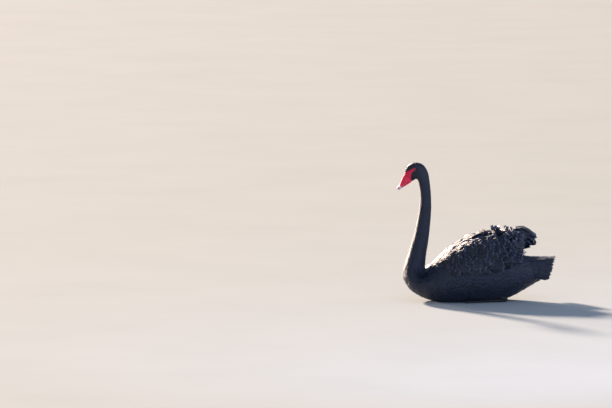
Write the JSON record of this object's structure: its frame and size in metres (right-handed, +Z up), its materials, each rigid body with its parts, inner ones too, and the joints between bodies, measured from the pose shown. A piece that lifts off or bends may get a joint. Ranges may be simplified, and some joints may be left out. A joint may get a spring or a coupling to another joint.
{
  "type": "black swan model",
  "caption": "Life-size still model of a black swan resting on its belly, neck raised, with ruffled folded wings.",
  "frame": {"origin": "middle of the flat under the belly, on the floor", "axes": "+Z up, the bird faces -X, its left side is -Y"},
  "size_m": [0.7062, 0.2779, 0.6169],
  "materials": {
    "plumage": "matte feather, faint blue sheen",
    "ruffles": "matte feather with pale brown edges",
    "bill": "satin horn",
    "eye": "wet gloss",
    "shank": "scaly skin"
  },
  "bodies": {
    "root": {"torso": "plumage", "neck_lower": "plumage", "neck_middle": "plumage", "neck_upper": "plumage", "head": "plumage", "bill_upper": "bill", "bill_lower": "bill", "tail": "plumage", "eye_left": "eye", "eye_right": "eye", "wing_left": "ruffles", "wing_right": "ruffles", "leg_left": "shank", "leg_right": "shank", "foot_left": "shank", "foot_right": "shank"}
  },
  "joints": []
}
